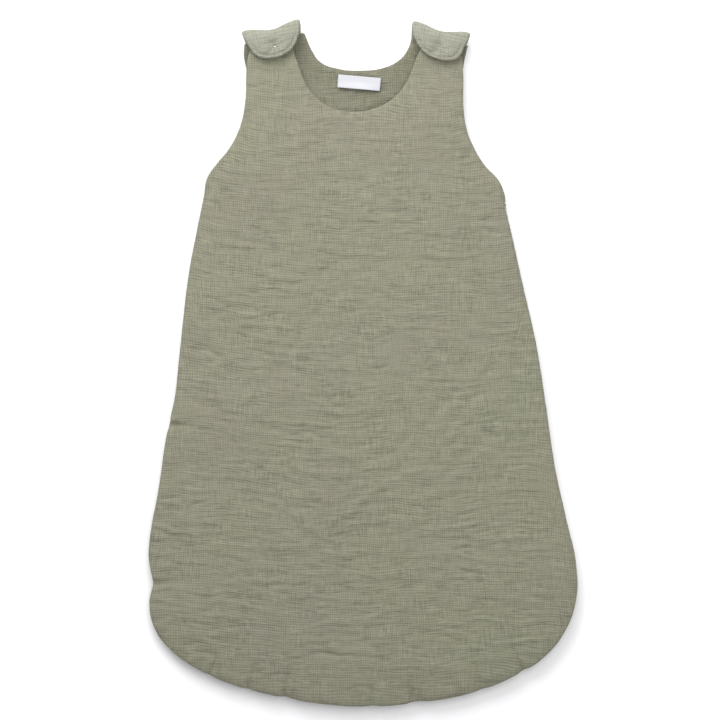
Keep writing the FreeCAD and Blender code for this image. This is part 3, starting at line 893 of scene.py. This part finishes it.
gauze = double_gauze("sage double gauze, washed", "#8D8C79", "#686759")
# The lining's darker colours are painted shade, for the shade the front throws over the lining.
lining_gauze_painted_shade = double_gauze("sage double gauze, washed lining", "#838270", "#5C5B4E")
# The tabs' paler colours are painted light, where the tabs face the lamp and catch its sheen.
tab_gauze_painted_light = double_gauze("sage double gauze, washed, paler as painted light", "#999A8C", "#76776A")
front.data.materials.append(gauze)
back.data.materials.append(lining_gauze_painted_shade)
for piece in (left_tab, right_tab):
    piece.data.materials.append(tab_gauze_painted_light)

# %% [markdown]
# Label satin is polyester woven with long floats: white, smooth, with a faint sheen and fine
# ribs across. The ribs are drawn at 0.8 mm.

# %% Satin label
def label_satin():
    finish, tree = new_finish("white polyester satin, woven")
    place = add(tree, "TexCoord").outputs["Object"]
    ribs = add(tree, "TexWave", {"Vector": place}, wave_type="BANDS", bands_direction="X",
               Scale=bands(0.8))
    relief = add(tree, "Bump", {"Height": ribs.outputs["Fac"]}, Strength=0.2, Distance=0.0001)
    shader = add(tree, "BsdfPrincipled", {"Normal": relief.outputs[0]}, Roughness=0.45,
                 Base_Color=linear("#B8B8BE"), Sheen_Weight=0.2)
    add(tree, "OutputMaterial", {"Surface": shader.outputs[0]})
    return finish


satin = label_satin()
for piece in (neck_label, care_label):
    piece.data.materials.append(satin)

# %% [markdown]
# The zip is a fine coil zip. Its coil is polyester thread wound in a spiral, dyed to match and
# a little shiny. Its tapes and the guard strip behind are woven polyester, matt with fine ribs.
# The slider, pull, stop and press studs are brass with a tumbled nickel plate, so they are grey,
# bright and slightly worn.

# %% Zip and stud finishes
def dyed_polyester(name, code, rib_gap, roughness, strength):
    finish, tree = new_finish(name)
    place = add(tree, "TexCoord").outputs["Object"]
    ribs = add(tree, "TexWave", {"Vector": place}, wave_type="BANDS", bands_direction="Z",
               Scale=bands(rib_gap), Distortion=0.6)
    flecks = add(tree, "TexNoise", {"Vector": place}, Scale=700.0, Detail=3.0)
    both = add(tree, "Math", {0: ribs.outputs["Fac"], 1: flecks.outputs["Fac"]},
               operation="MULTIPLY")
    bright = tuple(c * 1.25 for c in linear(code)[:3]) + (1,)
    colour = add(tree, "Mix", {"Factor": both.outputs[0], 6: linear(code), 7: bright},
                 data_type="RGBA")
    relief = add(tree, "Bump", {"Height": both.outputs[0]}, Strength=strength, Distance=0.0002)
    shader = add(tree, "BsdfPrincipled",
                 {"Base Color": colour.outputs[2], "Normal": relief.outputs[0]},
                 Roughness=roughness)
    add(tree, "OutputMaterial", {"Surface": shader.outputs[0]})
    return finish


def tumbled_nickel():
    finish, tree = new_finish("nickel plate on brass, tumbled")
    place = add(tree, "TexCoord").outputs["Object"]
    scuffs = add(tree, "TexNoise", {"Vector": place}, Scale=900.0, Detail=4.0)
    rough = add(tree, "MapRange", {"Value": scuffs.outputs["Fac"]}, To_Min=0.22, To_Max=0.48)
    relief = add(tree, "Bump", {"Height": scuffs.outputs["Fac"]}, Strength=0.12, Distance=0.0001)
    shader = add(tree, "BsdfPrincipled",
                 {"Roughness": rough.outputs[0], "Normal": relief.outputs[0]},
                 Metallic=1.0, Base_Color=linear("#C9C6BF"))
    add(tree, "OutputMaterial", {"Surface": shader.outputs[0]})
    return finish


coil_finish = dyed_polyester("polyester coil, dyed sage", "#83826F", 0.6, 0.42, 0.3)
tape_finish = dyed_polyester("polyester tape, woven and dyed sage", "#7B7A68", 0.8, 0.8, 0.5)
nickel = tumbled_nickel()
tape_front.data.materials.append(tape_finish)
for piece in (teeth_front, teeth_back):
    piece.data.materials.append(coil_finish)
for piece in metal_pieces:
    piece.data.materials.append(nickel)
studs = [side + "_stud_" + part for side in ("left", "right")
         for part in ("cap", "socket", "ball", "ring")]
tapes = ["zip_tape_back", "zip_guard"]
for names, finish in ((studs, nickel), (tapes, tape_finish)):
    for name in names:
        for slot in frame["nodes"][name].material_slots:
            slot.material = finish
print("finishes given to", len(studs) + len(tapes), "model parts")

# %% [markdown]
# ## Floor, light and camera
# The bag lies on a white sweep under a big soft light from the head end, a little to the
# left, so the foot is in a slightly dimmer light.

# %% Studio
CAMERA_UP, CAMERA_SPAN, SENSOR = 2.4, 0.7358, 36
BAG_HEIGHT = 0.02


def studio():
    mesh = bpy.data.meshes.new("floor")
    form = bmesh.new()
    bmesh.ops.create_grid(form, x_segments=2, y_segments=2, size=6.0)
    form.to_mesh(mesh)
    form.free()
    floor = as_object("floor", mesh)
    finish, tree = new_finish("white paper sweep, matt")
    shader = add(tree, "BsdfPrincipled", Roughness=0.9)
    shader.inputs["Base Color"].default_value = linear("#FAFAFC")
    add(tree, "OutputMaterial", {"Surface": shader.outputs[0]})
    mesh.materials.append(finish)
    for name, place, size, power, aim in (
            ("key", (-0.5, 1.35, 1.25), 1.4, 36, (0, 0.1, 0)),
            ("fill", (0.3, 0.15, 1.4), 0.8, 9, (0.05, 0.1, 0))):
        data = bpy.data.lights.new(name, "AREA")
        data.size = size
        data.energy = power
        light = bpy.data.objects.new(name, data)
        light.location = place
        light.rotation_euler = (Vector(aim) - Vector(place)).to_track_quat("-Z", "Y").to_euler()
        bpy.context.collection.objects.link(light)
    world = bpy.data.worlds.new("white room")
    world.use_nodes = True
    world.node_tree.nodes["Background"].inputs[0].default_value = (1, 1, 1, 1)
    world.node_tree.nodes["Background"].inputs[1].default_value = 0.52
    bpy.context.scene.world = world
    data = bpy.data.cameras.new("above")
    data.sensor_width = SENSOR
    data.lens = SENSOR * CAMERA_UP / CAMERA_SPAN
    camera = bpy.data.objects.new("above", data)
    camera.location = (-0.0051, 0.0046, CAMERA_UP + BAG_HEIGHT)
    bpy.context.collection.objects.link(camera)
    bpy.context.scene.camera = camera
    bpy.context.scene.view_settings.view_transform = "Standard"


studio()
